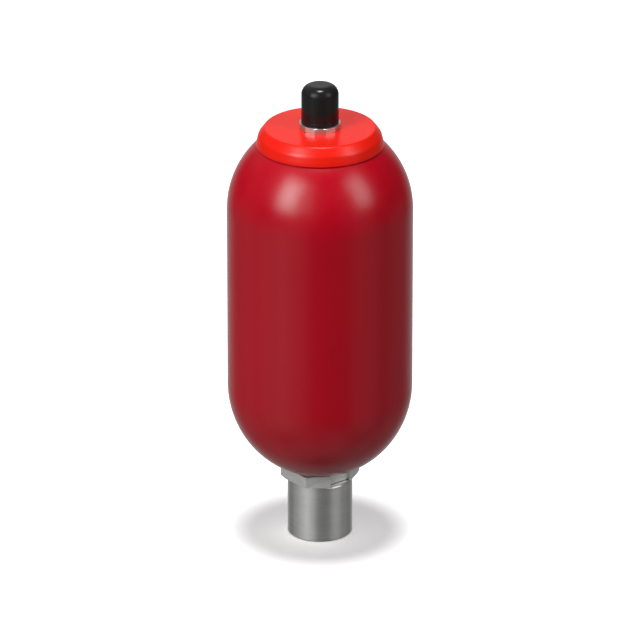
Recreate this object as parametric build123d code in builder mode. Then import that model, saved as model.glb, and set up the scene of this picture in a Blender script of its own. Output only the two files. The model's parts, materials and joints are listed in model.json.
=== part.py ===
from build123d import *
from math import asin, cos, degrees, radians, sin, sqrt
import os

os.makedirs("parts", exist_ok=True)

# Bladder accumulator, vertical, port end face at z = 0, axis on Z. Millimetres.

# ---- steel shell
shell_r = 85.5          # outer radius of the straight wall
wall = 7.5              # wall in the straight part
low_z = 150.0           # centre of the lower dome
low_h = 89.0            # outer height of the lower dome
high_z = 323.6          # centre of the upper dome
high_h = 85.2           # outer height of the upper dome
seat_z = 72.05          # flat outside seat round the port opening
seat_in_z = 83.05       # flat inside seat round the port opening
top_z = 391.0           # flat outside seat under the cover
top_in_z = 379.0        # flat inside seat for the bladder collar
port_open_r = 28.2      # opening at the fluid end
gas_open_r = 14.3       # opening at the gas end

# ---- fluid port
port_r = 30.1           # outside of the port below the nut
port_top = 55.5         # shoulder below the nut
thread_r = 20.955       # G 1 1/4 female thread, major radius
thread_len = 22.0
neck_r = 22.5           # M45 neck through the nut
groove_r = 20.0         # groove that holds the split ring
bore_r = 16.0           # flow bore
flange_z0 = 90.05
flange_z1 = 97.0
flange_r = 22.3
hub_z0 = 58.0           # guide hub of the poppet
hub_z1 = 72.0
hub_r = 8.0
stem_r = 5.0            # poppet stem
guide_r = 5.05

# ---- lock nut, fluid side
nut_z0 = 56.0
nut_z1 = 67.75
nut_corner_r = 37.0
nut_turn = 8.0          # angle of one corner from +X
nut_bore_r = 22.55
slot_w = 24.4           # spanner slots across two opposite corners
slot_floor = 25.0
slot_turn = -49.8

# ---- poppet, drawn open
lift = 10.0             # from open to closed
seat_gap = 0.3          # left between the cones when closed
head_r = 20.5

# ---- gas side
gas_r = 13.9            # M28 valve stem
nose_r = 8.0
ring_z0 = 403.9
ring_z1 = 408.65
ring_r = 19.3           # corners of the twelve-sided retaining nut
cap_z0 = 408.7
cap_z1 = 445.3
cap_r = 17.2


def dome(rx, rz, xc, zc, a0, a1, count=13):
    """Points of an elliptical dome section between two parameter angles."""
    step = (a1 - a0) / (count - 1)
    turns = [radians(a0 + step * i) for i in range(count)]
    return [(xc + rx * cos(t), zc + rz * sin(t)) for t in turns]


def dome_ends(rx, rz, a0, a1):
    """End directions of that section, for a smooth join."""
    return [(-rx * sin(t), rz * cos(t)) for t in (radians(a0), radians(a1))]


# ================================================================ shell
inner_r = shell_r - wall
low_hi = low_h - wall
high_hi = high_h - wall
a_low = degrees(asin((seat_z - low_z) / low_h))
a_high = degrees(asin((top_z - high_z) / high_h))
a_low_in = degrees(asin((seat_in_z - low_z) / low_hi))
a_high_in = degrees(asin((top_in_z - high_z) / high_hi))

with BuildPart() as shell:
    with BuildSketch(Plane.XZ):
        with BuildLine():
            o1 = Spline(*dome(shell_r, low_h, 0, low_z, a_low, 0), tangents=dome_ends(shell_r, low_h, a_low, 0))
            o2 = Line(o1 @ 1, (shell_r, high_z))
            o3 = Spline(*dome(shell_r, high_h, 0, high_z, 0, a_high), tangents=dome_ends(shell_r, high_h, 0, a_high))
            o4 = Line(o3 @ 1, (gas_open_r, top_z))
            o5 = Line(o4 @ 1, (gas_open_r, top_in_z))
            i3 = Spline(*dome(inner_r, high_hi, 0, high_z, 0, a_high_in), tangents=dome_ends(inner_r, high_hi, 0, a_high_in))
            o6 = Line(o5 @ 1, i3 @ 1)
            i2 = Line(i3 @ 0, (inner_r, low_z))
            i1 = Spline(*dome(inner_r, low_hi, 0, low_z, a_low_in, 0), tangents=dome_ends(inner_r, low_hi, a_low_in, 0))
            o7 = Line(i1 @ 0, (port_open_r, seat_in_z))
            o8 = Line(o7 @ 1, (port_open_r, seat_z))
            o9 = Line(o8 @ 1, o1 @ 0)
        make_face()
    revolve(axis=Axis.Z)
    # rounded rims of both outside seats, and the port opening broken inside
    rims = shell.edges().filter_by(GeomType.CIRCLE)
    fillet(rims.filter_by(lambda e: abs(e.center().Z - seat_z) < 0.01 and e.radius > 35), 2.2)
    rims = shell.edges().filter_by(GeomType.CIRCLE)
    fillet(rims.filter_by(lambda e: abs(e.center().Z - top_z) < 0.01 and e.radius > 35), 3.0)
    rims = shell.edges().filter_by(GeomType.CIRCLE)
    chamfer(rims.filter_by(lambda e: abs(e.radius - gas_open_r) < 0.01), 0.6)
shell.part.label = "shell"
export_step(shell.part, "parts/shell.step")

# ================================================================ fluid port body
cone = 2.5              # height and width of the 45 degree poppet seat
with BuildPart() as fluid_port_body:
    with BuildSketch(Plane.XZ):
        with BuildLine():
            Polyline(
                (22.3, 0), (port_r - 0.8, 0), (port_r, 0.8), (port_r, port_top - 1.5),
                (port_r - 1.5, port_top), (neck_r - 0.9, port_top), (neck_r - 0.9, port_top + 1.6),
                (neck_r, port_top + 2.5), (neck_r, seat_in_z - 0.8), (neck_r - 0.8, seat_in_z),
                (groove_r, seat_in_z), (groove_r, flange_z0), (flange_r, flange_z0),
                (flange_r, flange_z1 - 0.8), (flange_r - 0.8, flange_z1), (bore_r + cone, flange_z1),
                (bore_r, flange_z1 - cone), (bore_r, thread_len + 7.0), (thread_r - 2.0, thread_len + 3.5),
                (thread_r, thread_len + 1.5), (thread_r, 1.345),
                close=True,
            )
        make_face()
    revolve(axis=Axis.Z)
    # guide hub on three webs
    with BuildSketch(Plane.XY.offset(hub_z0)):
        Circle(hub_r)
        with PolarLocations(0, 3, start_angle=90):
            Rectangle(bore_r + 1.0, 4.0, align=(Align.MIN, Align.CENTER))
        Circle(guide_r, mode=Mode.SUBTRACT)
    extrude(amount=hub_z1 - hub_z0)
fluid_port_body.part.label = "fluid_port_body"
export_step(fluid_port_body.part, "parts/fluid_port_body.step")

# ================================================================ lock nut, fluid side
with BuildPart() as fluid_side_lock_nut:
    with BuildSketch(Plane.XY.offset(nut_z0)):
        RegularPolygon(radius=nut_corner_r, side_count=6, rotation=nut_turn)
    extrude(amount=nut_z1 - nut_z0)
    # turned corners at both faces and the thread hole with its chamfers
    with BuildSketch(Plane.XZ):
        with BuildLine():
            Polyline(
                (nut_bore_r + 1.0, nut_z0), (34.3, nut_z0), (38.9, nut_z0 + 2.66), (38.9, nut_z1 - 2.3),
                (34.9, nut_z1), (nut_bore_r + 1.0, nut_z1), (nut_bore_r, nut_z1 - 1.0),
                (nut_bore_r, nut_z0 + 1.0),
                close=True,
            )
        make_face()
    revolve(axis=Axis.Z, mode=Mode.INTERSECT)
    # two opposite spanner slots
    with BuildSketch(Plane.XY.offset(nut_z0 - 1)):
        with PolarLocations(slot_floor, 2, start_angle=slot_turn):
            Rectangle(20.0, slot_w, align=(Align.MIN, Align.CENTER))
    extrude(amount=nut_z1 - nut_z0 + 2, mode=Mode.SUBTRACT)
fluid_side_lock_nut.part.label = "fluid_side_lock_nut"
export_step(fluid_side_lock_nut.part, "parts/fluid_side_lock_nut.step")

# ================================================================ seal stack of the port
with BuildPart() as spacer_ring:
    with BuildSketch(Plane.XZ):
        with BuildLine():
            Polyline(
                (neck_r + 0.3, nut_z1), (31.0, nut_z1), (31.6, nut_z1 + 0.6), (31.6, seat_z - 0.6),
                (31.0, seat_z), (neck_r + 0.3, seat_z),
                close=True,
            )
        make_face()
    revolve(axis=Axis.Z)
spacer_ring.part.label = "spacer_ring"
export_step(spacer_ring.part, "parts/spacer_ring.step")

ring_in = neck_r + 0.2
ring_out = port_open_r - 0.2
o_sec = 2.55
with BuildPart() as support_ring:
    with BuildSketch(Plane.XZ):
        with BuildLine():
            Polyline(
                (ring_in, seat_z), (ring_out, seat_z), (ring_out, seat_z + 3.95), (ring_in, seat_z + 3.95),
                close=True,
            )
        make_face()
    revolve(axis=Axis.Z)
support_ring.part.label = "support_ring"
export_step(support_ring.part, "parts/support_ring.step")

with BuildPart() as port_o_ring:
    with BuildSketch(Plane.XZ):
        with Locations(((ring_in + ring_out) / 2, seat_z + 3.95 + o_sec)):
            Circle(o_sec)
    revolve(axis=Axis.Z)
port_o_ring.part.label = "port_o_ring"
export_step(port_o_ring.part, "parts/port_o_ring.step")

with BuildPart() as seal_washer:
    with BuildSketch(Plane.XZ):
        with BuildLine():
            Polyline(
                (ring_in, seat_z + 3.95 + 2 * o_sec), (ring_out, seat_z + 3.95 + 2 * o_sec),
                (ring_out, seat_in_z), (ring_in, seat_in_z),
                close=True,
            )
        make_face()
    revolve(axis=Axis.Z)
seal_washer.part.label = "seal_washer"
export_step(seal_washer.part, "parts/seal_washer.step")

# split ring that keeps the port from being pushed out, in two halves
with BuildPart() as anti_extrusion_ring:
    with BuildSketch(Plane.XZ):
        with BuildLine():
            Polyline(
                (groove_r + 0.3, seat_in_z), (38.0, seat_in_z), (38.0, seat_in_z + 3.0), (36.0, flange_z0 - 1.5),
                (33.0, flange_z0), (groove_r + 0.3, flange_z0),
                close=True,
            )
        make_face()
    revolve(axis=Axis.Z)
    with BuildSketch(Plane.XY.offset(seat_in_z - 1)):
        Rectangle(100, 0.6)
    extrude(amount=12, mode=Mode.SUBTRACT)
anti_extrusion_ring.part.label = "anti_extrusion_ring"
export_step(anti_extrusion_ring.part, "parts/anti_extrusion_ring.step")

# ================================================================ poppet, held open by its spring
# closed, the head cone stands seat_gap above the seat cone; drawn lift higher
up = lift + seat_gap * sqrt(2)
cone_r = bore_r - 1.2
with BuildPart() as poppet:
    with BuildSketch(Plane.XZ):
        with BuildLine():
            Polyline(
                (0, 36.5), (stem_r - 0.8, 36.5), (stem_r, 37.3), (stem_r, flange_z1 - 7.0 + up),
                (11.0, flange_z1 - 7.0 + up), (11.6, flange_z1 - 9.0 + up),
                (cone_r - 0.6, flange_z1 - 9.0 + up), (cone_r, flange_z1 - 8.0 + up),
                (cone_r, flange_z1 - cone - 1.2 + up),
                (head_r, flange_z1 - cone - 1.2 + up + (head_r - cone_r)),
                (head_r, flange_z1 + 4.2 + up), (head_r - 1.5, flange_z1 + 5.7 + up),
                (9.0, flange_z1 + 7.0 + up), (0, flange_z1 + 7.3 + up),
                close=True,
            )
        make_face()
    revolve(axis=Axis.Z)
    # cross hole for the split pin
    with BuildSketch(Plane.XZ.offset(-8)):
        with Locations((0, 41.2)):
            Circle(1.3)
    extrude(amount=16, mode=Mode.SUBTRACT)
poppet.part.label = "poppet"
export_step(poppet.part, "parts/poppet.step")

# compression spring between the hub and the head
spring_z0 = hub_z1
spring_z1 = flange_z1 - 7.0 + up - 0.4
wire = 1.3
spring_r = 8.6
spring_turns = 6.0
with BuildPart() as poppet_spring:
    with BuildLine():
        coil = Helix(
            pitch=(spring_z1 - spring_z0 - 2 * wire) / spring_turns,
            height=spring_z1 - spring_z0 - 2 * wire,
            radius=spring_r,
            center=(0, 0, spring_z0 + wire),
        )
    with BuildSketch(Plane(origin=coil @ 0, z_dir=coil % 0)):
        Circle(wire)
    sweep(path=coil, is_frenet=True)
poppet_spring.part.label = "poppet_spring"
export_step(poppet_spring.part, "parts/poppet_spring.step")

with BuildPart() as damping_sleeve:
    with BuildSketch(Plane.XZ):
        with BuildLine():
            Polyline(
                (guide_r, 47.0), (8.0, 47.0), (8.8, 47.8), (8.8, 56.4), (7.5, 57.7), (guide_r, 57.7),
                close=True,
            )
        make_face()
    revolve(axis=Axis.Z)
damping_sleeve.part.label = "damping_sleeve"
export_step(damping_sleeve.part, "parts/damping_sleeve.step")

with BuildPart() as castle_nut:
    with BuildSketch(Plane.XY.offset(39.2)):
        RegularPolygon(radius=9.3, side_count=6)
        Circle(guide_r, mode=Mode.SUBTRACT)
    extrude(amount=7.8)
    # six slots for the pin in the lower end
    with BuildSketch(Plane.XY.offset(39.0)):
        with PolarLocations(0, 6, start_angle=30):
            Rectangle(12.0, 2.8, align=(Align.MIN, Align.CENTER))
    extrude(amount=3.6, mode=Mode.SUBTRACT)
castle_nut.part.label = "castle_nut"
export_step(castle_nut.part, "parts/castle_nut.step")

# split pin: eye, two legs through the stem, ends bent round the nut
with BuildPart() as split_pin:
    with BuildLine():
        leg = FilletPolyline((0, -11.0, 41.2), (0, 9.9, 41.2), (5.0, 10.6, 41.2), radius=1.4)
    with BuildSketch(Plane(origin=leg @ 0, z_dir=leg % 0)):
        Circle(1.1)
    sweep(path=leg)
    with BuildSketch(Plane.YZ):
        with Locations((-12.6, 41.2)):
            Circle(2.3)
            Circle(1.1, mode=Mode.SUBTRACT)
    extrude(amount=0.9, both=True)
split_pin.part.label = "split_pin"
export_step(split_pin.part, "parts/split_pin.step")

# ================================================================ bladder
collar_z0 = 375.5       # top of the stem flange
bag_r = 64.0
bag_t = 3.0
bag_z0 = 122.0          # lowest point of the bag
bag_s0 = 186.0          # where the lower dome of the bag starts
bag_s1 = 335.0          # where its shoulder starts
with BuildPart() as bladder:
    with BuildSketch(Plane.XZ):
        with BuildLine():
            b1 = EllipticalCenterArc((0, bag_s0), bag_r, bag_s0 - bag_z0, start_angle=-90, arc_size=90)
            b2 = Line(b1 @ 1, (bag_r, bag_s1))
            b3 = EllipticalCenterArc((36.0, bag_s1), bag_r - 36.0, top_in_z - bag_s1, start_angle=0, arc_size=90)
            b4 = Line(b3 @ 1, (gas_r + 0.1, top_in_z))
            b5 = Line(b4 @ 1, (gas_r + 0.1, collar_z0))
            b6 = Line(b5 @ 1, (30.3, collar_z0))
            b7 = Line(b6 @ 1, (30.3, collar_z0 - 5.5))
            b8 = Line(b7 @ 1, (36.0, top_in_z - bag_t - 5.5))
            c3 = EllipticalCenterArc(
                (36.0, bag_s1), bag_r - bag_t - 36.0, top_in_z - bag_t - 5.5 - bag_s1, start_angle=0, arc_size=90
            )
            c2 = Line(c3 @ 0, (bag_r - bag_t, bag_s0))
            c1 = EllipticalCenterArc(
                (0, bag_s0), bag_r - bag_t, bag_s0 - bag_z0 - bag_t, start_angle=-90, arc_size=90
            )
            b9 = Line(c1 @ 0, b1 @ 0)
        make_face()
    revolve(axis=Axis.Z)
bladder.part.label = "bladder"
export_step(bladder.part, "parts/bladder.step")

# ================================================================ gas valve
with BuildPart() as gas_valve_stem:
    with BuildSketch(Plane.XZ):
        with BuildLine():
            Polyline(
                (4.0, collar_z0 - 5.0), (29.2, collar_z0 - 5.0), (30.0, collar_z0 - 4.2), (30.0, collar_z0),
                (gas_r, collar_z0), (gas_r, 422.8), (gas_r - 1.2, 424.0), (nose_r, 424.0),
                (nose_r, 429.2), (nose_r - 0.8, 430.0), (5.2, 430.0), (5.2, 414.0), (4.0, 412.8),
                close=True,
            )
        make_face()
    revolve(axis=Axis.Z)
gas_valve_stem.part.label = "gas_valve_stem"
export_step(gas_valve_stem.part, "parts/gas_valve_stem.step")

with BuildPart() as gas_valve_insert:
    with BuildSketch(Plane.XZ):
        with BuildLine():
            Polyline(
                (0, 414.6), (3.0, 414.6), (5.1, 416.6), (5.1, 427.0), (3.4, 427.0), (3.4, 428.4),
                (1.3, 428.4), (1.3, 431.2), (0.9, 431.6), (0, 431.6),
                close=True,
            )
        make_face()
    revolve(axis=Axis.Z)
gas_valve_insert.part.label = "gas_valve_insert"
export_step(gas_valve_insert.part, "parts/gas_valve_insert.step")

with BuildPart() as gas_side_washer:
    with BuildSketch(Plane.XY.offset(top_z)):
        Circle(27.0)
        Circle(gas_open_r, mode=Mode.SUBTRACT)
    extrude(amount=1.6)
    chamfer(gas_side_washer.faces().sort_by(Axis.Z)[-1].edges().sort_by(SortBy.RADIUS)[-1], 0.4)
gas_side_washer.part.label = "gas_side_washer"
export_step(gas_side_washer.part, "parts/gas_side_washer.step")

lock_z0 = top_z + 1.6
lock_z1 = 401.1
with BuildPart() as gas_side_lock_nut:
    with BuildSketch(Plane.XY.offset(lock_z0)):
        RegularPolygon(radius=24.0, side_count=6)
    extrude(amount=lock_z1 - lock_z0)
    with BuildSketch(Plane.XZ):
        with BuildLine():
            Polyline(
                (gas_r + 0.05, lock_z0), (25.0, lock_z0), (25.0, lock_z1 - 2.4), (20.84, lock_z1),
                (gas_r + 1.0, lock_z1), (gas_r + 0.05, lock_z1 - 0.95),
                close=True,
            )
        make_face()
    revolve(axis=Axis.Z, mode=Mode.INTERSECT)
gas_side_lock_nut.part.label = "gas_side_lock_nut"
export_step(gas_side_lock_nut.part, "parts/gas_side_lock_nut.step")

with BuildPart() as valve_seal_cap:
    with BuildSketch(Plane.XZ):
        with BuildLine():
            Polyline(
                (nose_r + 0.05, 426.3), (9.8, 426.3), (10.4, 426.9), (10.4, 435.6), (9.4, 436.6), (0, 436.6),
                (0, 433.4), (7.2, 433.4), (nose_r + 0.05, 432.55),
                close=True,
            )
        make_face()
    revolve(axis=Axis.Z)
    # gripping flutes
    with BuildSketch(Plane.XY.offset(426.0)):
        with PolarLocations(10.9, 20):
            Circle(0.9)
    extrude(amount=9.2, mode=Mode.SUBTRACT)
valve_seal_cap.part.label = "valve_seal_cap"
export_step(valve_seal_cap.part, "parts/valve_seal_cap.step")

with BuildPart() as seal_cap_o_ring:
    with BuildSketch(Plane.XZ):
        with Locations((nose_r + 1.2, 425.15)):
            Circle(1.13)
    revolve(axis=Axis.Z)
seal_cap_o_ring.part.label = "seal_cap_o_ring"
export_step(seal_cap_o_ring.part, "parts/seal_cap_o_ring.step")

# ================================================================ top cover
cov_t = 2.4
with BuildPart() as top_cover:
    with BuildSketch(Plane.XZ):
        with BuildLine():
            Polyline(
                (gas_open_r, ring_z0), (50.75, ring_z0), (56.4, 396.5), (59.0, 386.4),
                (56.5, 388.25), (54.0, 395.9), (49.7, ring_z0 - cov_t), (gas_open_r, ring_z0 - cov_t),
                close=True,
            )
        make_face()
    revolve(axis=Axis.Z)
    rims = top_cover.edges().filter_by(GeomType.CIRCLE)
    fillet(rims.filter_by(lambda e: abs(e.radius - 50.75) < 0.02), 2.7)
    rims = top_cover.edges().filter_by(GeomType.CIRCLE)
    fillet(rims.filter_by(lambda e: abs(e.radius - 56.4) < 0.02), 2.0)
    rims = top_cover.edges().filter_by(GeomType.CIRCLE)
    fillet(rims.filter_by(lambda e: abs(e.radius - 59.0) < 0.02), 0.4)
top_cover.part.label = "top_cover"
export_step(top_cover.part, "parts/top_cover.step")

with BuildPart() as cover_retaining_nut:
    with BuildSketch(Plane.XY.offset(ring_z0)):
        RegularPolygon(radius=ring_r, side_count=12, rotation=15.7)
    extrude(amount=ring_z1 - ring_z0)
    # bore, and corners turned off at both faces
    with BuildSketch(Plane.XZ):
        with BuildLine():
            Polyline(
                (gas_r + 0.05, ring_z0), (ring_r - 0.4, ring_z0), (ring_r + 0.2, ring_z0 + 0.5),
                (ring_r + 0.2, ring_z1 - 0.6), (ring_r - 0.6, ring_z1), (gas_r + 0.05, ring_z1),
                close=True,
            )
        make_face()
    revolve(axis=Axis.Z, mode=Mode.INTERSECT)
cover_retaining_nut.part.label = "cover_retaining_nut"
export_step(cover_retaining_nut.part, "parts/cover_retaining_nut.step")

# ================================================================ protection cap
cap_round = 9.3
with BuildPart() as valve_protection_cap:
    with BuildSketch(Plane.XZ):
        with BuildLine():
            k1 = Polyline(
                (14.9, cap_z0), (cap_r - 0.3, cap_z0), (cap_r + 0.1, cap_z0 + 0.4), (cap_r + 0.1, cap_z0 + 4.0),
                (cap_r - 0.15, cap_z0 + 4.25), (cap_r, cap_z0 + 4.6), (cap_r, cap_z1 - cap_round),
            )
            k2 = CenterArc((cap_r - cap_round, cap_z1 - cap_round), cap_round, 0, 90)
            k3 = Polyline(
                k2 @ 1, (0, cap_z1), (0, cap_z1 - 3.6), (11.0, cap_z1 - 3.6), (13.2, cap_z1 - 5.8), (13.2, 426.0),
                (14.25, 425.0), (14.25, cap_z0 + 0.65), (14.9, cap_z0),
            )
        make_face()
    revolve(axis=Axis.Z)
valve_protection_cap.part.label = "valve_protection_cap"
export_step(valve_protection_cap.part, "parts/valve_protection_cap.step")
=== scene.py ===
import json
from math import acos, atan2, cos, hypot, pi, radians, sin, sqrt, tan

import bmesh
import bpy
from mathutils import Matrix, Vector

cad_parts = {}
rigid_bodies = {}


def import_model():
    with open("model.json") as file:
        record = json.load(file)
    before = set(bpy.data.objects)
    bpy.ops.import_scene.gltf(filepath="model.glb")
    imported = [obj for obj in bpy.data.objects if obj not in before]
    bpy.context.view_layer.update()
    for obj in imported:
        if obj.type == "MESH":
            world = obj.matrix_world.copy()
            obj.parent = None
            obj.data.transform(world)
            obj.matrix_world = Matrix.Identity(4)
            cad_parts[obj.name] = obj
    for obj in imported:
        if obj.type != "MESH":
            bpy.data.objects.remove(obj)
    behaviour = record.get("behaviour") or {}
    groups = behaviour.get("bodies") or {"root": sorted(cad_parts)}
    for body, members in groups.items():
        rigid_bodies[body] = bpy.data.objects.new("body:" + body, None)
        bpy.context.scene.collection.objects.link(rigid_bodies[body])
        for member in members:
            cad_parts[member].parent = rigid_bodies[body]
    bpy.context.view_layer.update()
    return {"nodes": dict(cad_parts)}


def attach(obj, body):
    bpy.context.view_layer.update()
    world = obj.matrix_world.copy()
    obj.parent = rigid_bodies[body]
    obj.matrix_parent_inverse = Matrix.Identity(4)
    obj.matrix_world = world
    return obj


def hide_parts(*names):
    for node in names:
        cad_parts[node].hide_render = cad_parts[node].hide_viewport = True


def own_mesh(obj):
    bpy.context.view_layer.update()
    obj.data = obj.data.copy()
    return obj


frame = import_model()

MM = 0.001
NODES = frame["nodes"]
BODY = "accumulator"

# ------------------------------------------------------------------ mesh helpers


def rounded(pts, closed=True):
    """Profile points (r, z[, fillet radius[, segments]]) with their corners rounded."""
    out = []
    n = len(pts)
    for i, p in enumerate(pts):
        rad = p[2] if len(p) > 2 else 0.0
        seg = p[3] if len(p) > 3 else 5
        if rad <= 0 or (not closed and i in (0, n - 1)):
            out.append((p[0], p[1]))
            continue
        a, b = Vector(pts[i - 1][:2]), Vector(pts[(i + 1) % n][:2])
        c = Vector(p[:2])
        u, v = (a - c).normalized(), (b - c).normalized()
        cosang = max(-1.0, min(1.0, u.dot(v)))
        half = acos(cosang) / 2
        if half < 0.02 or half > pi / 2 - 0.01:
            out.append((p[0], p[1]))
            continue
        t = rad / tan(half)
        t = min(t, (a - c).length * 0.49, (b - c).length * 0.49)
        rr = t * tan(half)
        centre = c + (u + v).normalized() * (rr / sin(half))
        s, e = c + u * t, c + v * t
        a0, a1 = atan2(s.y - centre.y, s.x - centre.x), atan2(e.y - centre.y, e.x - centre.x)
        d = a1 - a0
        while d > pi:
            d -= 2 * pi
        while d < -pi:
            d += 2 * pi
        for k in range(seg + 1):
            ang = a0 + d * k / seg
            out.append((centre.x + rr * cos(ang), centre.y + rr * sin(ang)))
    return out


def dense(pts, step, z0=None, z1=None, closed=True):
    """Splits long stretches of a profile."""
    out = []
    n = len(pts)
    for i in range(n if closed else n - 1):
        a, b = pts[i], pts[(i + 1) % n]
        out.append(a)
        lo, hi = min(a[1], b[1]), max(a[1], b[1])
        if z0 is not None and (hi < z0 or lo > z1):
            continue
        m = int(hypot(b[0] - a[0], b[1] - a[1]) / step)
        for k in range(1, m):
            t = k / m
            out.append((a[0] + (b[0] - a[0]) * t, a[1] + (b[1] - a[1]) * t))
    if not closed:
        out.append(pts[-1])
    return out


def finish_mesh(name, bm, sharp=32.0):
    bmesh.ops.recalc_face_normals(bm, faces=bm.faces)
    me = bpy.data.meshes.new(name)
    bm.to_mesh(me)
    bm.free()
    for p in me.polygons:
        p.use_smooth = True
    me.set_sharp_from_angle(angle=radians(sharp))
    ob = bpy.data.objects.new(name, me)
    bpy.context.scene.collection.objects.link(ob)
    return ob


def turned(name, pts, n=192, closed=True, bend=None, sharp=32.0):
    """Solid of revolution from a profile in mm. Points at r = 0 become poles. bend(r, z, angle) may move a point."""
    bm = bmesh.new()
    rows = []
    for r, z in pts:
        if r < 1e-6:
            rows.append([bm.verts.new((0, 0, z * MM))])
            continue
        row = []
        for k in range(n):
            a = 2 * pi * k / n
            rr, zz = (r, z) if bend is None else bend(r, z, a)
            row.append(bm.verts.new((rr * cos(a) * MM, rr * sin(a) * MM, zz * MM)))
        rows.append(row)
    m = len(rows)
    for i in range(m if closed else m - 1):
        p, q = rows[i], rows[(i + 1) % m]
        if len(p) == 1 and len(q) == 1:
            continue
        for k in range(n):
            k2 = (k + 1) % n
            if len(p) == 1:
                bm.faces.new((p[0], q[k], q[k2]))
            elif len(q) == 1:
                bm.faces.new((p[k], p[k2], q[0]))
            else:
                bm.faces.new((p[k], p[k2], q[k2], q[k]))
    return finish_mesh(name, bm, sharp)


def bevelled(name, node, width=0.3, segments=2, angle=25.0, sharp=40.0):
    """A cleaned copy of a CAD node with its hard edges broken. The new faces carry worn = 1."""
    src = NODES[node]
    bm = bmesh.new()
    bm.from_mesh(src.data)
    bmesh.ops.remove_doubles(bm, verts=bm.verts, dist=2e-6)
    bmesh.ops.dissolve_limit(bm, angle_limit=radians(1.0), verts=bm.verts, edges=bm.edges)
    edges = [e for e in bm.edges if len(e.link_faces) == 2 and e.calc_face_angle(0) > radians(angle)]
    bmesh.ops.bevel(
        bm, geom=edges, offset=width * MM, offset_type="OFFSET", segments=segments, profile=0.5,
        affect="EDGES", clamp_overlap=True, material=1,
    )
    bmesh.ops.triangulate(bm, faces=[f for f in bm.faces if len(f.verts) > 4])
    worn = bm.faces.layers.float.new("worn")
    for f in bm.faces:
        f[worn] = float(f.material_index)
        f.material_index = 0
    return finish_mesh(name, bm, sharp)


def tube(name, path, radius, sides=16, closed=False):
    """Round bar along points in mm."""
    bm = bmesh.new()
    pts = [Vector(p) * MM for p in path]
    n = len(pts)
    rings = []
    ref = None
    for i, p in enumerate(pts):
        if closed:
            t = (pts[(i + 1) % n] - pts[i - 1]).normalized()
        else:
            t = (pts[min(i + 1, n - 1)] - pts[max(i - 1, 0)]).normalized()
        if ref is None:
            ref = t.orthogonal().normalized()
        ref = (ref - t * ref.dot(t)).normalized()
        other = t.cross(ref)
        rad = radius(i / (n - 1)) if callable(radius) else radius
        rings.append(
            [
                bm.verts.new(p + (ref * cos(2 * pi * k / sides) + other * sin(2 * pi * k / sides)) * rad * MM)
                for k in range(sides)
            ]
        )
    for i in range(n if closed else n - 1):
        a, b = rings[i], rings[(i + 1) % n]
        for k in range(sides):
            k2 = (k + 1) % sides
            bm.faces.new((a[k], a[k2], b[k2], b[k]))
    if not closed:
        bm.faces.new(rings[0])
        bm.faces.new(list(reversed(rings[-1])))
    return finish_mesh(name, bm, 50)


def helix_mod(z0, z1, pitch, depth, fade=1.2, hand=1):
    """Thread: moves a wall by up to depth between z0 and z1."""

    def bend(r, z, a):
        if z < z0 or z > z1:
            return r, z
        f = ((z - z0) / pitch - hand * a / (2 * pi)) % 1.0
        tri = 1 - abs(2 * f - 1)
        tri = min(1.0, max(0.0, (tri - 0.12) / 0.76))
        ends = min(1.0, (z - z0) / fade, (z1 - z) / fade)
        return r + depth * tri * max(0.0, ends), z

    return bend


def ellipse(rx, rz, xc, zc, a0, a1, count):
    return [
        (xc + rx * cos(a0 + (a1 - a0) * i / count), zc + rz * sin(a0 + (a1 - a0) * i / count))
        for i in range(count + 1)
    ]


# ------------------------------------------------------------------ material helpers


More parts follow.
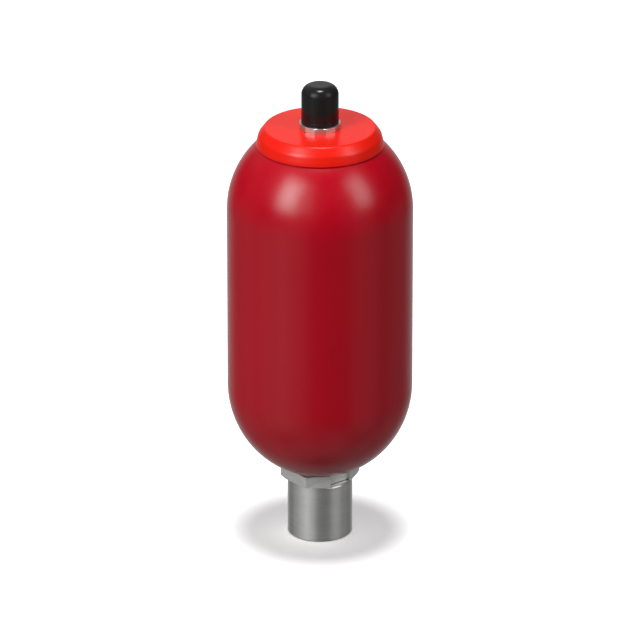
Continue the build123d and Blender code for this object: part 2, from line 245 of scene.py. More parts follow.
class Mat:
    """A node material with a principled shader and short ways to add procedural detail."""

    def __init__(self, name):
        self.mat = bpy.data.materials.new(name)
        self.mat.use_nodes = True
        self.nt = self.mat.node_tree
        self.nt.nodes.clear()
        self.out = self.nt.nodes.new("ShaderNodeOutputMaterial")
        self.bsdf = self.nt.nodes.new("ShaderNodeBsdfPrincipled")
        self.nt.links.new(self.bsdf.outputs[0], self.out.inputs[0])
        self.coord = self.nt.nodes.new("ShaderNodeTexCoord").outputs["Object"]
        self.normal = None

    def set(self, **k):
        for key, val in k.items():
            self.bsdf.inputs[key.replace("_", " ")].default_value = val
        return self

    def link(self, a, b):
        self.nt.links.new(a, b)

    def math(self, op, a, b=0.0, c=None):
        n = self.nt.nodes.new("ShaderNodeMath")
        n.operation = op
        for i, v in enumerate((a, b) if c is None else (a, b, c)):
            if isinstance(v, (int, float)):
                n.inputs[i].default_value = v
            else:
                self.link(v, n.inputs[i])
        return n.outputs[0]

    def noise(self, scale, detail=3.0, rough=0.55, vector=None, distortion=0.0):
        n = self.nt.nodes.new("ShaderNodeTexNoise")
        n.inputs["Scale"].default_value = scale
        n.inputs["Detail"].default_value = detail
        n.inputs["Roughness"].default_value = rough
        n.inputs["Distortion"].default_value = distortion
        self.link(self.coord if vector is None else vector, n.inputs["Vector"])
        return n.outputs["Fac"]

    def voronoi(self, scale, feature="F1", vector=None):
        n = self.nt.nodes.new("ShaderNodeTexVoronoi")
        n.feature = feature
        n.inputs["Scale"].default_value = scale
        self.link(self.coord if vector is None else vector, n.inputs["Vector"])
        return n.outputs["Distance"]

    def ramp(self, fac, lo, hi, out0=0.0, out1=1.0, smooth=False):
        n = self.nt.nodes.new("ShaderNodeMapRange")
        n.interpolation_type = "SMOOTHSTEP" if smooth else "LINEAR"
        n.inputs["From Min"].default_value = lo
        n.inputs["From Max"].default_value = hi
        n.inputs["To Min"].default_value = out0
        n.inputs["To Max"].default_value = out1
        self.link(fac, n.inputs["Value"])
        return n.outputs["Result"]

    def mix(self, fac, a, b):
        n = self.nt.nodes.new("ShaderNodeMix")
        n.data_type = "RGBA"
        for i, v in ((6, a), (7, b)):
            if isinstance(v, (tuple, list)):
                n.inputs[i].default_value = (*v, 1.0)
            else:
                self.link(v, n.inputs[i])
        self.link(fac, n.inputs[0])
        return n.outputs[2]

    def colour(self, sock):
        self.link(sock, self.bsdf.inputs["Base Color"])
        return self

    def rough(self, sock):
        self.link(sock, self.bsdf.inputs["Roughness"])
        return self

    def bump(self, height, distance, strength=1.0):
        n = self.nt.nodes.new("ShaderNodeBump")
        n.inputs["Strength"].default_value = strength
        n.inputs["Distance"].default_value = distance
        self.link(height, n.inputs["Height"])
        if self.normal is not None:
            self.link(self.normal, n.inputs["Normal"])
        self.normal = n.outputs["Normal"]
        self.link(self.normal, self.bsdf.inputs["Normal"])
        return self

    def rings(self, k, swirl=0.8, slant=1.0):
        """A vector that changes along the profile and hardly round the axis, for turning marks."""
        sep = self.nt.nodes.new("ShaderNodeSeparateXYZ")
        self.link(self.coord, sep.inputs[0])
        x, y, z = sep.outputs
        r = self.math("SQRT", self.math("ADD", self.math("MULTIPLY", x, x), self.math("MULTIPLY", y, y)))
        r = self.math("MAXIMUM", r, 1e-5)
        c = self.math("ADD", self.math("MULTIPLY", z, k), self.math("MULTIPLY", r, k * slant))
        com = self.nt.nodes.new("ShaderNodeCombineXYZ")
        self.link(c, com.inputs[0])
        self.link(self.math("MULTIPLY", self.math("DIVIDE", x, r), swirl), com.inputs[1])
        self.link(self.math("MULTIPLY", self.math("DIVIDE", y, r), swirl), com.inputs[2])
        return com.outputs[0]


def paint_mat():
    m = Mat("shell_paint")
    m.set(Metallic=0.0, IOR=1.46, Specular_IOR_Level=0.38)
    big = m.noise(9.0, 3.0)
    fine = m.noise(60.0, 4.0)
    base = m.mix(m.ramp(big, 0.3, 0.7), (0.246, 0.0001, 0.0056), (0.268, 0.0005, 0.0070))
    spot = m.ramp(m.noise(420.0, 2.0), 0.70, 0.78)
    m.colour(m.mix(m.math("MULTIPLY", spot, 0.15), base, (0.34, 0.008, 0.012)))
    m.rough(m.ramp(fine, 0.25, 0.75, 0.21, 0.27))
    m.bump(m.noise(55.0, 2.0), 0.00035, 0.25)
    m.bump(m.noise(620.0, 2.0), 0.00004, 0.35)
    return m.mat


def cover_mat():
    m = Mat("cover_plastic")
    m.set(Metallic=0.0, IOR=1.49, Specular_IOR_Level=0.20)
    base = m.mix(m.ramp(m.noise(14.0, 3.0), 0.3, 0.7), (0.475, 0.0060, 0.0018), (0.500, 0.0078, 0.0026))
    m.colour(base)
    m.rough(m.ramp(m.noise(130.0, 3.0), 0.25, 0.75, 0.27, 0.33))
    m.bump(m.noise(70.0, 2.0), 0.0002, 0.2)
    m.bump(m.noise(1500.0, 2.0), 0.000015, 0.5)
    return m.mat


def cap_mat():
    m = Mat("cap_plastic")
    m.set(Metallic=0.0, IOR=1.5, Specular_IOR_Level=0.17)
    m.colour(m.mix(m.ramp(m.noise(40.0, 3.0), 0.3, 0.7), (0.0065, 0.0065, 0.0065), (0.0095, 0.0095, 0.0092)))
    m.rough(m.ramp(m.noise(260.0, 3.0), 0.25, 0.75, 0.15, 0.21))
    m.bump(m.noise(1900.0, 2.0), 0.00002, 0.6)
    m.bump(m.noise(90.0, 2.0), 0.0002, 0.12)
    return m.mat


def steel_mat(name, base=(0.44, 0.44, 0.43), dark=(0.33, 0.33, 0.32), rough=(0.24, 0.38), ring=900.0, depth=0.00002, marks=0.35, edge=None, painted_shade_height=None):
    """Turned steel: fine rings, slow tonal drift, a few handling marks. edge: roughness of worn edges. Below the height
    given last, the colour darkens as a painted contact shadow.
    """
    m = Mat(name)
    m.set(Metallic=1.0)
    vec = m.rings(ring)
    lines = m.noise(1.0, 4.0, 0.65, vector=vec)
    broad = m.noise(1.0, 2.0, 0.5, vector=m.rings(ring * 0.12, 1.6))
    drift = m.noise(22.0, 4.0)
    smudge = m.ramp(m.noise(75.0, 5.0, 0.65, distortion=0.6), 0.56, 0.72, smooth=True)
    tone = m.math("ADD", m.math("MULTIPLY", lines, 0.45), m.math("MULTIPLY", broad, 0.30))
    tone = m.math("ADD", tone, m.math("MULTIPLY", drift, 0.25))
    col = m.mix(m.ramp(tone, 0.35, 0.65), dark, base)
    col = m.mix(m.math("MULTIPLY", smudge, marks), col, tuple(c * 0.62 for c in base))
    gloss = m.math("ADD", m.ramp(lines, 0.3, 0.7, rough[0], rough[1]), m.math("MULTIPLY", smudge, 0.10))
    if edge is not None:
        att = m.nt.nodes.new("ShaderNodeAttribute")
        att.attribute_name = "worn"
        col = m.mix(att.outputs["Fac"], col, (0.95, 0.95, 0.94))
        gloss = m.math("SUBTRACT", gloss, m.math("MULTIPLY", att.outputs["Fac"], edge))
    # painted contact shadow: the colour darkens towards (0.10, 0.10, 0.10) near the bottom of the part
    if painted_shade_height is not None:
        sep = m.nt.nodes.new("ShaderNodeSeparateXYZ")
        m.link(m.coord, sep.inputs[0])
        col = m.mix(m.ramp(sep.outputs[2], painted_shade_height * 0.6, painted_shade_height, 0.8, 0.0), col, (0.10, 0.10, 0.10))
    m.colour(col)
    m.rough(gloss)
    m.bump(lines, depth, 0.8)
    return m.mat


def rubber_mat(name, tone=0.012):
    m = Mat(name)
    m.set(Metallic=0.0, IOR=1.5)
    m.colour(m.mix(m.ramp(m.noise(50.0, 4.0), 0.3, 0.7), (tone, tone, tone), (tone * 1.6, tone * 1.55, tone * 1.5)))
    m.rough(m.ramp(m.noise(300.0, 3.0), 0.2, 0.8, 0.55, 0.75))
    m.bump(m.noise(1400.0, 3.0), 0.00004, 0.5)
    return m.mat


def brass_mat(name):
    m = Mat(name)
    m.set(Metallic=1.0)
    lines = m.noise(1.0, 4.0, 0.6, vector=m.rings(1600.0))
    m.colour(m.mix(m.ramp(lines, 0.35, 0.65), (0.62, 0.44, 0.19), (0.78, 0.58, 0.28)))
    m.rough(m.ramp(m.noise(120.0, 4.0), 0.3, 0.7, 0.22, 0.38))
    m.bump(lines, 0.00001, 0.7)
    return m.mat


def pom_mat(name):
    m = Mat(name)
    m.set(Metallic=0.0, IOR=1.48)
    lines = m.noise(1.0, 3.0, 0.6, vector=m.rings(1200.0))
    m.colour(m.mix(m.ramp(lines, 0.35, 0.65), (0.62, 0.58, 0.48), (0.72, 0.69, 0.60)))
    m.rough(m.ramp(m.noise(200.0, 3.0), 0.3, 0.7, 0.35, 0.5))
    m.bump(lines, 0.00002, 0.6)
    return m.mat


PAINT = paint_mat()
COVER = cover_mat()
CAP = cap_mat()
# the port gets a painted contact shadow along its bottom edge
PORT = steel_mat("port_steel", (0.76, 0.76, 0.75), (0.66, 0.66, 0.65), (0.27, 0.36), 420.0, 0.00001, marks=0.22, painted_shade_height=0.0012)
NUT = steel_mat("nut_steel", (0.88, 0.88, 0.87), (0.80, 0.80, 0.79), (0.46, 0.56), 650.0, 0.00001, marks=0.18, edge=0.24)
RINGS = steel_mat("ring_steel", (0.42, 0.42, 0.41), (0.32, 0.32, 0.31), (0.26, 0.38), 1200.0)
VALVE = steel_mat("valve_steel", (0.55, 0.55, 0.54), (0.43, 0.43, 0.42), (0.18, 0.30), 1500.0, marks=0.15)
SPRING = steel_mat("spring_steel", (0.30, 0.30, 0.31), (0.20, 0.20, 0.21), (0.28, 0.42), 300.0)
ZINC = steel_mat("fastener_steel", (0.60, 0.60, 0.59), (0.48, 0.49, 0.50), (0.22, 0.36), 900.0, marks=0.25)
RETAIN = steel_mat("retainer_steel", (0.60, 0.68, 0.66), (0.50, 0.57, 0.55), (0.34, 0.44), 1400.0, 0.00001, marks=0.15)
RUBBER = rubber_mat("seal_rubber", 0.010)
BAG = rubber_mat("bladder_rubber", 0.014)
BRASS = brass_mat("insert_brass")
BRASS2 = brass_mat("seal_cap_brass")
POM = pom_mat("support_plastic")


def dress(ob, mat):
    ob.data.materials.clear()
    ob.data.materials.append(mat)
    return ob


def stand_for(ob, node, mat, body=BODY):
    dress(ob, mat)
    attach(ob, body)
    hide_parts(node)
    return ob


# ------------------------------------------------------------------ shell
SHELL_R, WALL = 85.5, 7.5
LOW_Z, LOW_H, HIGH_Z, HIGH_H = 150.0, 89.0, 323.6, 85.2
SEAT_Z, SEAT_IN, TOP_Z, TOP_IN = 72.05, 83.05, 391.0, 379.0


def asin_(v):
    return atan2(v, sqrt(max(0.0, 1 - v * v)))


lower = ellipse(SHELL_R, LOW_H, 0, LOW_Z, asin_((SEAT_Z + 2.6 - LOW_Z) / LOW_H), 0, 44)
upper = ellipse(SHELL_R, HIGH_H, 0, HIGH_Z, 0, asin_((TOP_Z - 1.6 - HIGH_Z) / HIGH_H), 44)
inner_up = ellipse(SHELL_R - WALL, HIGH_H - WALL, 0, HIGH_Z, 0, asin_((TOP_IN - HIGH_Z) / (HIGH_H - WALL)), 28)
inner_lo = ellipse(SHELL_R - WALL, LOW_H - WALL, 0, LOW_Z, asin_((SEAT_IN - LOW_Z) / (LOW_H - WALL)), 0, 28)
mid = [(SHELL_R, LOW_Z + (HIGH_Z - LOW_Z) * k / 24) for k in range(1, 24)]
rim = rounded([lower[0], (lower[0][0] - 4.3, SEAT_Z, 7.5, 8), (28.9, SEAT_Z), (28.2, SEAT_Z + 0.7)], closed=False)
rim = [p for p in rim[1:]]
prof = (
    lower
    + mid
    + upper
    + rounded([upper[-1], (upper[-1][0] - 1.9, TOP_Z, 2.0, 5), (14.9, TOP_Z), (14.3, TOP_Z - 0.6), (14.3, TOP_IN + 0.6), (14.9, TOP_IN)], closed=False)[1:]
    + list(reversed(inner_up))
    + list(reversed(inner_lo))
    + [(28.2, SEAT_IN)]
    + list(reversed(rim))
)
shell = turned("shell_painted", prof, 288, sharp=38)
stand_for(shell, "shell", PAINT)

# ------------------------------------------------------------------ top cover
cover_pts = rounded(
    [
        (14.3, 403.9, 0.3, 3), (50.75, 403.9, 2.7, 10), (56.45, 396.5, 9.0, 12), (59.0, 386.4, 0.5, 5),
        (56.5, 388.25, 0.3, 3), (54.0, 395.9, 2.0, 5), (49.7, 401.5, 1.6, 6), (14.3, 401.5, 0.3, 3),
    ]
)
cover = turned("cover_moulded", dense(cover_pts, 3.0), 256, sharp=50)
stand_for(cover, "top_cover", COVER)

# ------------------------------------------------------------------ retaining ring
ring = bevelled("retaining_nut_twelve_sided", "cover_retaining_nut", 0.18, 2, 12.0, 10)
stand_for(ring, "cover_retaining_nut", RETAIN)

# ------------------------------------------------------------------ protection cap
CR, CAP_R, CAP_TOP, CAP_Z0 = 9.3, 17.2, 445.3, 408.7
dome_pts = ellipse(CR, CR, CAP_R - CR, CAP_TOP - CR, 0, pi / 2, 24)
cap_out = rounded(
    [
        (14.9, CAP_Z0), (CAP_R + 0.1, CAP_Z0, 0.2, 3), (CAP_R + 0.1, CAP_Z0 + 4.0, 0.3, 4),
        (CAP_R - 0.25, CAP_Z0 + 4.2, 0.1, 2), (CAP_R - 0.25, CAP_Z0 + 4.45, 0.1, 2), (CAP_R, CAP_Z0 + 4.75, 0.1, 2),
        (CAP_R, CAP_TOP - CR),
    ],
    closed=False,
)[:-1]
cap_in = rounded(
    [
        (0, CAP_TOP - 3.6), (11.0, CAP_TOP - 3.6, 1.0, 4), (13.2, CAP_TOP - 5.8, 0.8, 3), (13.2, 426.0), (14.25, 425.0),
        (14.25, CAP_Z0 + 0.65), (14.9, CAP_Z0),
    ],
    closed=False,
)[:-1]
prof = cap_out + dome_pts + [(5.0, CAP_TOP), (2.5, CAP_TOP), (0, CAP_TOP)] + cap_in
cap = turned("cap_moulded", prof, 192, sharp=40)
stand_for(cap, "valve_protection_cap", CAP, "protection_cap")

# ------------------------------------------------------------------ gas valve stem with its thread
stem_prof = rounded(
    [
        (4.0, 370.5), (30.0, 370.5, 0.8, 3), (30.0, 375.5, 0.2, 2), (13.9, 375.5), (13.9, 409.0), (13.9, 422.8, 0.3, 2),
        (12.7, 424.0), (8.0, 424.0), (8.0, 429.2), (7.2, 430.0), (5.2, 430.0), (5.2, 414.0), (4.0, 412.8),
    ]
)
stem_prof = dense(stem_prof, 0.19, 409.2, 422.9)
stem_bend = helix_mod(409.2, 422.6, 1.5, -0.85, 0.5)


def stem_shape(r, z, a):
    return stem_bend(r, z, a) if r > 13.0 else (r, z)


stem = turned("valve_stem_threaded", stem_prof, 128, bend=stem_shape, sharp=28)
stand_for(stem, "gas_valve_stem", VALVE)

# ------------------------------------------------------------------ seal cap on the valve nose


def flutes(r, z, a):
    if r < 9.9 or z < 426.8 or z > 435.3:
        return r, z
    f = abs(((a * 20 / (2 * pi)) % 1.0) - 0.5) * 2
    return r - 0.55 * max(0.0, 1 - f * 1.9), z


seal_prof = rounded(
    [
        (8.05, 426.3), (9.8, 426.3), (10.4, 426.9, 0.2, 2), (10.4, 435.6, 0.3, 3), (9.4, 436.6, 0.3, 3),
        (4.2, 436.6, 0.2, 2), (3.6, 435.9, 0.2, 2), (0, 435.9), (0, 433.4), (7.2, 433.4), (8.05, 432.55),
    ]
)
seal = turned("seal_cap_fluted", dense(seal_prof, 0.6, 426.5, 436.0), 240, bend=flutes, sharp=30)
stand_for(seal, "valve_seal_cap", BRASS2)

# ------------------------------------------------------------------ fluid port body
port_prof = rounded(
    [
        (22.3, 0), (29.3, 0, 0.15, 2), (30.1, 0.8, 0.15, 2), (30.1, 54.0, 0.2, 2), (28.6, 55.5, 0.2, 2), (21.6, 55.5), (21.6, 57.1),
        (22.5, 58.0), (22.5, 82.25), (21.7, 83.05), (20.0, 83.05, 0.4, 2), (20.0, 90.05, 0.4, 2), (22.3, 90.05),
        (22.3, 96.2), (21.5, 97.0), (18.5, 97.0), (16.0, 94.5), (16.0, 29.0), (18.955, 25.5),
        (20.955, 23.5), (20.955, 1.345),
    ]
)
port_prof = dense(port_prof, 0.26, 1.3, 22.4)
thread = helix_mod(1.2, 22.2, 2.309, -1.45, 1.6)


def port_shape(r, z, a):
    return thread(r, z, a) if 20.5 < r < 21.2 and z < 22.4 else (r, z)


port = turned("port_body_turned", port_prof, 192, bend=port_shape, sharp=28)
stand_for(port, "fluid_port_body", PORT)

# guide hub and its three webs
bm = bmesh.new()
H0, H1 = 58.0, 72.0
outer, hubr, guide, halfw = 16.3, 8.0, 5.05, 2.0
ring_pts = []
for w in range(3):
    a = radians(90 + 120 * w)
    t0 = asin_(halfw / hubr)
    t1 = asin_(halfw / outer)
    # out along one side of the web and back along the other
    ring_pts.append((hubr * cos(a - t0), hubr * sin(a - t0)))
    ring_pts.append((outer * cos(a - t1), outer * sin(a - t1)))
    ring_pts.append((outer * cos(a + t1), outer * sin(a + t1)))
    ring_pts.append((hubr * cos(a + t0), hubr * sin(a + t0)))
    nxt = radians(90 + 120 * (w + 1)) - t0
    start = a + t0
    for k in range(1, 14):
        b = start + (nxt - start) * k / 14
        ring_pts.append((hubr * cos(b), hubr * sin(b)))
m = len(ring_pts)
lo = [bm.verts.new((x * MM, y * MM, H0 * MM)) for x, y in ring_pts]
hi = [bm.verts.new((x * MM, y * MM, H1 * MM)) for x, y in ring_pts]
angs = [atan2(y, x) for x, y in ring_pts]
ilo = [bm.verts.new((guide * cos(t) * MM, guide * sin(t) * MM, H0 * MM)) for t in angs]
ihi = [bm.verts.new((guide * cos(t) * MM, guide * sin(t) * MM, H1 * MM)) for t in angs]
for k in range(m):
    k2 = (k + 1) % m
    bm.faces.new((lo[k], lo[k2], hi[k2], hi[k]))
    bm.faces.new((ilo[k], ihi[k], ihi[k2], ilo[k2]))
    bm.faces.new((lo[k], ilo[k], ilo[k2], lo[k2]))
    bm.faces.new((hi[k], hi[k2], ihi[k2], ihi[k]))
hub = finish_mesh("port_guide_hub", bm, 30)
dress(hub, PORT)
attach(hub, BODY)

# ------------------------------------------------------------------ lock nut with broken edges
nut = bevelled("lock_nut_hex", "fluid_side_lock_nut", 0.42, 3, 20.0, 35)
stand_for(nut, "fluid_side_lock_nut", NUT)
gnut = bevelled("gas_lock_nut_hex", "gas_side_lock_nut", 0.25, 2, 20.0, 35)
stand_for(gnut, "gas_side_lock_nut", NUT)
cnut = bevelled("castle_nut_slotted", "castle_nut", 0.15, 2, 20.0, 35)
stand_for(cnut, "castle_nut", ZINC, "poppet_valve")

# ------------------------------------------------------------------ seal stack
spacer = turned(
    "spacer_ring_turned",
    rounded([(22.8, 67.75, 0.3, 3), (31.6, 67.75, 0.6, 4), (31.6, 72.05, 0.6, 4), (22.8, 72.05, 0.3, 3)]), 160,
)
stand_for(spacer, "spacer_ring", RINGS)
sup = turned("support_ring_turned", rounded([(22.7, 72.05, 0.2, 2), (28.0, 72.05, 0.2, 2), (28.0, 76.0, 0.2, 2), (22.7, 76.0, 0.2, 2)]), 128)
stand_for(sup, "support_ring", POM)
oring = turned("port_o_ring_round", ellipse(2.55, 2.55, 25.35, 78.55, 0, 2 * pi, 24)[:-1], 128)
stand_for(oring, "port_o_ring", RUBBER)
wash = turned("seal_washer_turned", rounded([(22.7, 81.1, 0.15, 2), (28.0, 81.1, 0.15, 2), (28.0, 83.05, 0.15, 2), (22.7, 83.05, 0.15, 2)]), 128)
stand_for(wash, "seal_washer", RINGS)
gwash = turned("gas_washer_turned", rounded([(14.3, 391.0, 0.15, 2), (27.0, 391.0, 0.15, 2), (27.0, 392.6, 0.4, 4), (14.3, 392.6, 0.15, 2)]), 128)
stand_for(gwash, "gas_side_washer", ZINC)
o2 = turned("seal_cap_o_ring_round", ellipse(1.13, 1.13, 9.2, 425.15, 0, 2 * pi, 18)[:-1], 96)
stand_for(o2, "seal_cap_o_ring", RUBBER)

# ------------------------------------------------------------------ poppet group
up = 10.0 + 0.3 * sqrt(2)
pop = turned(
    "poppet_turned",
    rounded(
        [
            (0, 36.5), (4.2, 36.5, 0.2, 2), (5.0, 37.3, 0.2, 2), (5.0, 90.0 + up), (11.0, 90.0 + up, 0.3, 2),
            (11.6, 88.0 + up, 0.3, 2), (14.2, 88.0 + up, 0.3, 2), (14.8, 89.0 + up, 0.3, 2), (14.8, 93.3 + up, 0.4, 3),
            (20.5, 99.0 + up, 0.3, 3), (20.5, 101.2 + up, 0.8, 4), (19.0, 102.7 + up, 1.2, 4),
            (9.0, 104.0 + up, 2.0, 4), (0, 104.3 + up),
        ],
    ),
    128,
)
stand_for(pop, "poppet", VALVE, "poppet_valve")
sleeve = turned("damping_sleeve_turned", rounded([(5.05, 47.0), (8.0, 47.0, 0.2, 2), (8.8, 47.8, 0.2, 2), (8.8, 56.4, 0.2, 2), (7.5, 57.7, 0.2, 2), (5.05, 57.7)]), 96)
stand_for(sleeve, "damping_sleeve", VALVE, "poppet_valve")

# split pin: eye, shank through the stem, two bent ends
pin_path = [(0, -10.6 + 20.3 * k / 20, 41.2) for k in range(21)]
pin_path += [(1.4 * (1 - cos(t)), 9.7 + 1.0 * sin(t), 41.2) for t in (pi / 8, pi / 4, 3 * pi / 8)]
pin_path += [(1.4 + 0.9 * k, 10.7 + 0.05 * k, 41.2) for k in range(0, 5)]
shank = tube("split_pin_shank", pin_path, 1.05, 20)
eye = tube("split_pin_eye", [(0, -12.6 + 1.7 * cos(t), 41.2 + 1.7 * sin(t)) for t in [2 * pi * k / 40 for k in range(40)]], 0.6, 12, closed=True)
for ob in (shank, eye):
    dress(ob, ZINC)
    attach(ob, "poppet_valve")
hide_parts("split_pin")

# spring between the hub and the head
S0, S1, SR, SW, TURNS = 72.0, 90.0 + up - 0.4, 8.6, 1.3, 6.0
path = []
steps = 48 * int(TURNS)
for k in range(steps + 1):
    t = k / steps
    a = 2 * pi * TURNS * t
    # closed end coils, even pitch between them
    lift_t = min(1.0, max(0.0, (t - 0.09) / 0.82))
    z = S0 + SW + (S1 - S0 - 2 * SW) * lift_t
    path.append((SR * cos(a), SR * sin(a), z))
coil = tube("poppet_spring_coil", path, SW, 16)
stand_for(coil, "poppet_spring", SPRING)
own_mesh(coil)

# ------------------------------------------------------------------ bladder
BR, BT, BZ0, BS0, BS1 = 64.0, 3.0, 122.0, 186.0, 335.0
out = ellipse(BR, BS0 - BZ0, 0, BS0, -pi / 2, 0, 24)
out[0] = (0.0, BZ0)
out += [(BR, BS0 + (BS1 - BS0) * k / 12) for k in range(1, 12)]
out += ellipse(BR - 36, TOP_IN - BS1, 36, BS1, 0, pi / 2, 12)
out += [(14.0, TOP_IN), (14.0, 375.5), (30.3, 375.5), (30.3, 370.0), (36.0, TOP_IN - BT - 5.5)]
inn = ellipse(BR - BT - 36, TOP_IN - BT - 5.5 - BS1, 36, BS1, pi / 2, 0, 12)[1:]
inn += [(BR - BT, BS1 + (BS0 - BS1) * k / 12) for k in range(1, 12)]
inn += ellipse(BR - BT, BS0 - BZ0 - BT, 0, BS0, 0, -pi / 2, 24)
inn[-1] = (0.0, BZ0 + BT)
bag = turned("bladder_moulded", out + inn, 128, sharp=40)
stand_for(bag, "bladder", BAG)

# ------------------------------------------------------------------ CAD nodes that stay
for node, mat in (("gas_valve_insert", BRASS), ("anti_extrusion_ring", RINGS)):
    dress(NODES[node], mat)
for node, mat in (
    ("shell", PAINT), ("top_cover", COVER), ("cover_retaining_nut", RETAIN), ("valve_protection_cap", CAP),
    ("gas_valve_stem", VALVE), ("valve_seal_cap", BRASS2), ("fluid_port_body", PORT), ("fluid_side_lock_nut", NUT),
    ("gas_side_lock_nut", NUT), ("castle_nut", ZINC), ("spacer_ring", RINGS), ("support_ring", POM),
    ("port_o_ring", RUBBER), ("seal_washer", RINGS), ("gas_side_washer", ZINC), ("seal_cap_o_ring", RUBBER),
    ("poppet", VALVE), ("damping_sleeve", VALVE), ("split_pin", ZINC), ("poppet_spring", SPRING), ("bladder", BAG),
):
    dress(NODES[node], mat)

# ------------------------------------------------------------------ stage: floor, light, camera
lit = bpy.data.collections.new("lit_object")
for o in list(bpy.context.scene.objects):
    if o.type == "MESH":
        lit.objects.link(o)


def floor_piece(name, r0, r1, n=96):
    bm = bmesh.new()
    rows = []
    for r in (r0, r1):
        if r <= 0:
            rows.append([bm.verts.new((0, 0, -0.0001))])
        else:
            rows.append([bm.verts.new((r * cos(2 * pi * k / n), r * sin(2 * pi * k / n), -0.0001)) for k in range(n)])
    for k in range(n):
        k2 = (k + 1) % n
        if len(rows[0]) == 1:
            bm.faces.new((rows[0][0], rows[1][k], rows[1][k2]))
        else:
            bm.faces.new((rows[0][k], rows[1][k], rows[1][k2], rows[0][k2]))
    me = bpy.data.meshes.new(name)
    bm.to_mesh(me)
    bm.free()
    ob = bpy.data.objects.new(name, me)
    bpy.context.scene.collection.objects.link(ob)
    return ob


fm = bpy.data.materials.new("floor_white")
fm.use_nodes = True
fb = fm.node_tree.nodes["Principled BSDF"]
fb.inputs["Base Color"].default_value = (0.92, 0.92, 0.92, 1)
fb.inputs["Roughness"].default_value = 0.9
fb.inputs["Specular IOR Level"].default_value = 0.0
fb.inputs["Emission Color"].default_value = (1, 1, 1, 1)
fb.inputs["Emission Strength"].default_value = 0.385
near = floor_piece("floor_near", 0, 0.055)
far = floor_piece("floor_far", 0.055, 9.0)
for f in (near, far):
    f.data.materials.append(fm)
far.visible_glossy = False
far.visible_diffuse = False
far.visible_shadow = False
near.visible_glossy = False

world = bpy.data.worlds.new("studio")
bpy.context.scene.world = world
world.use_nodes = True
wn = world.node_tree
wn.nodes.clear()
wo = wn.nodes.new("ShaderNodeOutputWorld")
bg = wn.nodes.new("ShaderNodeBackground")
wn.links.new(bg.outputs[0], wo.inputs[0])
tc = wn.nodes.new("ShaderNodeTexCoord")


def wmath(op, a, b=0.0):
    n = wn.nodes.new("ShaderNodeMath")
    n.operation = op
    for i, v in enumerate((a, b)):
        if isinstance(v, (int, float)):
            n.inputs[i].default_value = v
        else:
            wn.links.new(v, n.inputs[i])
    return n.outputs[0]


def lobe(az, el, reach, strength):
    """Soft round patch of light in the room, az from the front towards +X, gone at reach degrees from its middle."""
    d = (sin(radians(az)) * cos(radians(el)), -cos(radians(az)) * cos(radians(el)), sin(radians(el)))
    dot = wn.nodes.new("ShaderNodeVectorMath")
    dot.operation = "DOT_PRODUCT"
    wn.links.new(tc.outputs["Generated"], dot.inputs[0])
    dot.inputs[1].default_value = d
    mr = wn.nodes.new("ShaderNodeMapRange")
    mr.interpolation_type = "SMOOTHSTEP"
    wn.links.new(dot.outputs["Value"], mr.inputs["Value"])
    mr.inputs["From Min"].default_value = cos(radians(reach))
    mr.inputs["From Max"].default_value = cos(radians(2))
    mr.inputs["To Min"].default_value = 0.0
    mr.inputs["To Max"].default_value = strength
    return mr.outputs["Result"]


total = wn.nodes.new("ShaderNodeValue").outputs[0]
total.default_value = 0.058
for row in (
    (-180, -58, 34, 0.20),
    (-120, -58, 34, 0.16),
    (-60, -58, 34, 0.23),
    (0, -58, 34, 0.25),
    (60, -58, 34, 0.20),
    (120, -58, 34, 0.17),
    (-180, -24, 27, 0.29),
    (-156, -24, 27, 0.31),
    (-108, -24, 27, 0.15),
    (-84, -24, 27, 0.17),
    (-60, -24, 27, 0.34),
    (-36, -24, 27, 0.39),
    (-12, -24, 27, 0.05),
    (12, -24, 27, 0.04),
    (36, -24, 27, 0.06),
    (60, -24, 27, 0.26),
    (84, -24, 27, 0.06),
    (108, -24, 27, 0.14),
    (156, -24, 27, 0.29),
    (-168, 10, 27, 0.31),
    (-96, 10, 27, 0.11),
    (-48, 10, 27, 0.07),
    (-24, 10, 27, 0.27),
    (48, 10, 27, 0.16),
    (168, 10, 27, 0.29),
    (-180, 32, 25, 0.29),
    (-156, 32, 25, 0.17),
    (-132, 32, 25, 0.19),
    (-108, 32, 25, 0.05),
    (-84, 32, 25, 0.04),
    (-60, 32, 25, 0.27),
    (-36, 32, 25, 0.57),
    (-12, 32, 25, 0.17),
    (36, 32, 25, 0.07),
    (60, 32, 25, 0.46),
    (156, 32, 25, 0.05),
    (-135, 52, 25, 0.08),
    (-105, 52, 25, 0.08),
    (-75, 52, 25, 0.14),
    (-45, 52, 25, 0.31),
    (75, 52, 25, 0.13),
):
    total = wmath("ADD", total, lobe(*row))
wn.links.new(total, bg.inputs["Strength"])
bg.inputs["Color"].default_value = (1, 1, 1, 1)


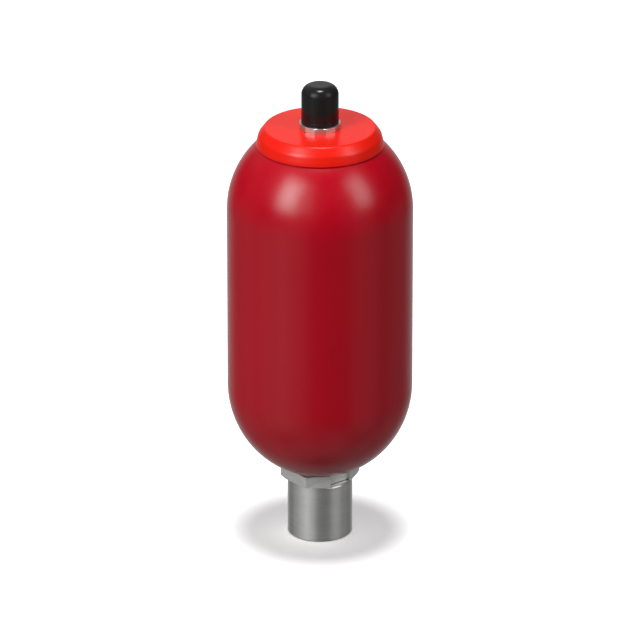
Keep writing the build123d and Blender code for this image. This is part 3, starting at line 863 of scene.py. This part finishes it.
def aim(ob, target):
    d = Vector(target) - ob.location
    ob.rotation_euler = d.to_track_quat("-Z", "Y").to_euler()


def softbox(name, az, el, dist, w, h, power, target=(0, 0, 0.25), link=True):
    data = bpy.data.lights.new(name, "AREA")
    data.shape = "RECTANGLE"
    data.size, data.size_y = w, h
    data.energy = power
    ob = bpy.data.objects.new(name, data)
    bpy.context.scene.collection.objects.link(ob)
    t = Vector(target)
    ob.location = t + Vector((sin(radians(az)) * cos(radians(el)), -cos(radians(az)) * cos(radians(el)), sin(radians(el)))) * dist
    aim(ob, target)
    if link:
        ob.light_linking.receiver_collection = lit
    return ob


def panel(name, az, el, half_w, half_h, radiance, dist=3.0):
    """Tall soft panel seen from the object under the given half angles."""
    w, h = 2 * dist * tan(radians(half_w)), 2 * dist * tan(radians(half_h))
    return softbox(name, az, el, dist, w, h, pi * w * h * radiance, (0, 0, 0.25))


panel("key_left", -45, 33, 14.5, 21, 2.9)
panel("key_left_core", -45, 33, 8, 14, 18.0)
panel("fill_right", 61, 33, 12.5, 20.5, 1.2)
panel("fill_right_core", 61, 33, 7, 14, 10.0)
panel("front_left", -20, 33, 8, 18, 0.84)
sun = bpy.data.lights.new("overhead", "SUN")
sun.energy = 3.0
sun.angle = radians(19)
so = bpy.data.objects.new("overhead", sun)
bpy.context.scene.collection.objects.link(so)
so.location = (0, 0, 2)

EL = radians(23.2)
DIST = 7.3
cam_data = bpy.data.cameras.new("photo_camera")
cam = bpy.data.objects.new("photo_camera", cam_data)
bpy.context.scene.collection.objects.link(cam)
cam_data.sensor_width = 36.0
cam_data.lens = 1.085 * 7300 / 640 * 36.0
cam_data.clip_start, cam_data.clip_end = 0.1, 60.0
cam.location = (0.0, -DIST * cos(EL), 0.225 + DIST * sin(EL))
aim(cam, (0.0, 0.0, 0.21181))
bpy.context.scene.camera = cam

bpy.context.scene.view_settings.view_transform = "Standard"
bpy.context.scene.view_settings.look = "None"
bpy.context.scene.view_settings.exposure = 0.0
bpy.context.scene.view_settings.gamma = 1.0
